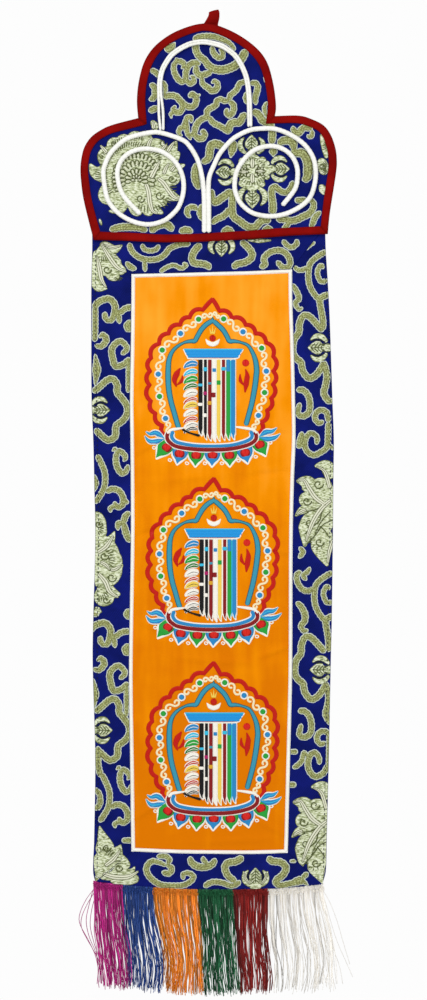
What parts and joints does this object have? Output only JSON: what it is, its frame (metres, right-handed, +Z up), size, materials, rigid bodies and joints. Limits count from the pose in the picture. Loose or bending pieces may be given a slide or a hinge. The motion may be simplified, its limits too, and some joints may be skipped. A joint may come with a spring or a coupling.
{
  "type": "buddhist wall hanging",
  "caption": "Narrow cloth wall hanging: bound brocade head with sewn cords and a tape eye, an embroidered panel in a brocade frame, and a coloured fringe.",
  "frame": {"origin": "the point inside the tape eye at the top that a nail or hook bears on", "axes": "+Z up along the hanging, +X to the right as seen from the front, +Y from the front to the back"},
  "size_m": [0.2178, 0.0117, 0.8349],
  "materials": {
    "blue_brocade": "woven satin ground with gold figures",
    "orange_satin": "satin weave, embroidered",
    "red_tape": "plain weave bias tape",
    "white_cord": "braided",
    "white_piping": "twisted",
    "magenta_thread": "rayon thread",
    "blue_thread": "rayon thread",
    "orange_thread": "rayon thread",
    "green_thread": "rayon thread",
    "dark_red_thread": "rayon thread",
    "white_thread": "rayon thread"
  },
  "bodies": {
    "root": {"head_cloth": "blue_brocade", "head_binding": "red_tape", "hanging_loop": "red_tape", "arch_cord": "white_cord", "left_scroll_cord": "white_cord", "right_scroll_cord": "white_cord", "border_top": "blue_brocade", "border_left": "blue_brocade", "border_right": "blue_brocade", "border_bottom": "blue_brocade", "centre_panel": "orange_satin", "panel_piping": "white_piping", "fringe_magenta": "magenta_thread", "fringe_blue": "blue_thread", "fringe_orange": "orange_thread", "fringe_green": "green_thread", "fringe_dark_red": "dark_red_thread", "fringe_white": "white_thread"}
  },
  "joints": []
}
